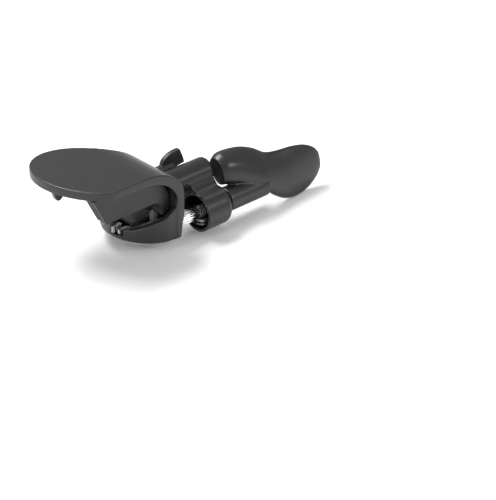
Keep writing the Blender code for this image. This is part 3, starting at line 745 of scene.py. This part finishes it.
# Sections of the key's twisted wing: distance along the shaft, then the wing's upper tip, its
# near ridge, its near root and its far root as (sideways, up) from the shaft axis.
WING = (
    (38.2, (11.5, 17.0), (2.5, 17.4), (1.5, 7.0), (7.0, 7.0)),
    (42.0, (12.5, 18.8), (0.5, 18.5), (-0.5, 6.0), (8.0, 8.0)),
    (48.0, (11.0, 20.0), (-1.0, 16.5), (-2.0, 4.0), (7.0, 8.5)),
    (54.0, (9.0, 20.5), (-2.5, 12.8), (-3.5, 1.0), (5.5, 6.0)),
    (60.0, (7.0, 19.0), (-3.8, 8.5), (-4.5, -2.0), (4.5, 3.0)),
    (66.0, (4.6, 15.8), (-4.4, 4.0), (-5.0, -7.0), (3.0, -1.0)),
    (73.0, (3.6, 15.2), (-4.2, 1.0), (-4.6, -11.0), (1.6, -4.0)),
    (81.0, (3.0, 14.6), (-3.6, 0.5), (-3.6, -13.0), (1.2, -5.0)),
    (89.0, (2.2, 12.6), (-3.0, 0.0), (-2.8, -12.0), (1.0, -4.0)),
    (95.0, (1.4, 8.6), (-2.2, 0.0), (-2.0, -8.4), (0.8, -2.0)),
    (98.0, (0.8, 4.6), (-1.4, 0.0), (-1.2, -4.6), (0.4, -1.0)),
)
WING_SIDES = 64
WING_STEPS = 110
WING_SWELL = 1.28


def through(values, share):
    last = len(values) - 1
    spot = min(share * last, last - 1e-9)
    i = int(spot)
    near = [values[min(max(i + k, 0), last)] for k in (-1, 0, 1, 2)]
    return catmull(near, spot - i)


def wing_section(share):
    """One closed section of the wing, rounded around its four control points."""
    along = through([station[0] for station in WING], share)
    corners = [through([Vector(station[k]) for station in WING], share) for k in (1, 2, 3, 4)]
    centre = sum(corners, Vector((0, 0))) / 4
    points = []
    for i in range(WING_SIDES):
        t = i / WING_SIDES * 4
        k = int(t)
        f = t - k
        a, b, c, d = (corners[(k + n - 1) % 4] for n in range(4))
        weights = ((1 - f) ** 3, 3 * f ** 3 - 6 * f * f + 4, -3 * f ** 3 + 3 * f * f + 3 * f + 1, f ** 3)
        mixed = (a * weights[0] + b * weights[1] + c * weights[2] + d * weights[3]) / 6
        spot = centre + (mixed - centre) * WING_SWELL
        points.append((along, spot.x, SHAFT_Z + spot.y))
    return points


def show_key():
    """Key handle: round hub on the shaft with a twisted wing."""
    key = object_of("key", loft([wing_section(i / WING_STEPS) for i in range(WING_STEPS + 1)]))
    hub = rod(KEY_START, KEY_HUB_END, KEY_HUB_R, 0.5, centre=(0, SHAFT_Z), segments=120)
    combine(key, "UNION", hub)
    combine(key, "DIFFERENCE", rod(0, 14, PIN_HOLE_R, centre=(PIN_X, 0), axis="z"),
            rod(KEY_START - 1, KEY_START + 1.5, SHAFT_BORE, centre=(0, SHAFT_Z)))
    show(soften(key, 0.3, 8), "key_handle", BLACK)


# ---------------------------------------------------------------- stage

CAMERA_AT = (-564.9, -640.1, 489.8)
CAMERA_AZIMUTH = -44.0
CAMERA_DOWN = 30.06
CAMERA_ROLL = 1.048
CAMERA_LENS = 160.1

# Name, place and size in metres, and power in watts
LAMPS = (("top", (-0.15, 0.45, 0.85), (0.7, 0.35), 11.0),
         ("left", (-0.9, -0.1, 0.45), (0.35, 0.6), 3.0),
         ("front", (0.3, -1.0, 0.6), (0.9, 0.18), 4.5))
WORLD_STRENGTH = 0.55


def set_camera():
    data = bpy.data.cameras.new("camera")
    data.lens = CAMERA_LENS
    data.clip_start = 0.05
    camera = bpy.data.objects.new("camera", data)
    bpy.context.scene.collection.objects.link(camera)
    turn = (Matrix.Rotation(math.radians(CAMERA_AZIMUTH), 4, "Z")
            @ Matrix.Rotation(math.radians(90 - CAMERA_DOWN), 4, "X")
            @ Matrix.Rotation(math.radians(CAMERA_ROLL), 4, "Z"))
    camera.matrix_world = Matrix.Translation(Vector(CAMERA_AT) * MM) @ turn
    bpy.context.scene.camera = camera


def area_light(name, place, size, power):
    data = bpy.data.lights.new(name, "AREA")
    data.shape = "RECTANGLE"
    data.size, data.size_y = size
    data.energy = power
    lamp = bpy.data.objects.new(name, data)
    bpy.context.scene.collection.objects.link(lamp)
    aim = Vector((0.01, 0.01, 0.015))
    lamp.location = place
    lamp.rotation_euler = (aim - Vector(place)).to_track_quat("-Z", "Y").to_euler()


def set_stage():
    low = CAD_BOX[0].z
    bm = bmesh.new()
    bmesh.ops.create_grid(bm, x_segments=8, y_segments=8, size=4.0)
    floor = object_of("floor", bm)
    floor.location = (0, 0, low)
    mat, shader, coords = start_material("floor_paper", (0.86, 0.86, 0.86), 0.6, 0.0)
    fibre = noise_at(mat, coords, 400)
    spread(mat, fibre, 0.55, 0.65, shader.inputs["Roughness"])
    floor.data.materials.append(mat)
    for lamp in LAMPS:
        area_light(*lamp)
    world = bpy.data.worlds.new("studio")
    world.use_nodes = True
    world.node_tree.nodes["Background"].inputs["Color"].default_value = (1, 1, 1, 1)
    world.node_tree.nodes["Background"].inputs["Strength"].default_value = WORLD_STRENGTH
    bpy.context.scene.world = world
    bpy.context.scene.view_settings.view_transform = "Standard"


show_palm_body()
show_side_panel()
show_shoe_cover()
show_sole()
show_tab_hook()
show_outer_housing()
show_fasteners()
show_drive()
show_cutter()
show_springs()
show_lever()
show_pincer()
show_key()
set_camera()
set_stage()
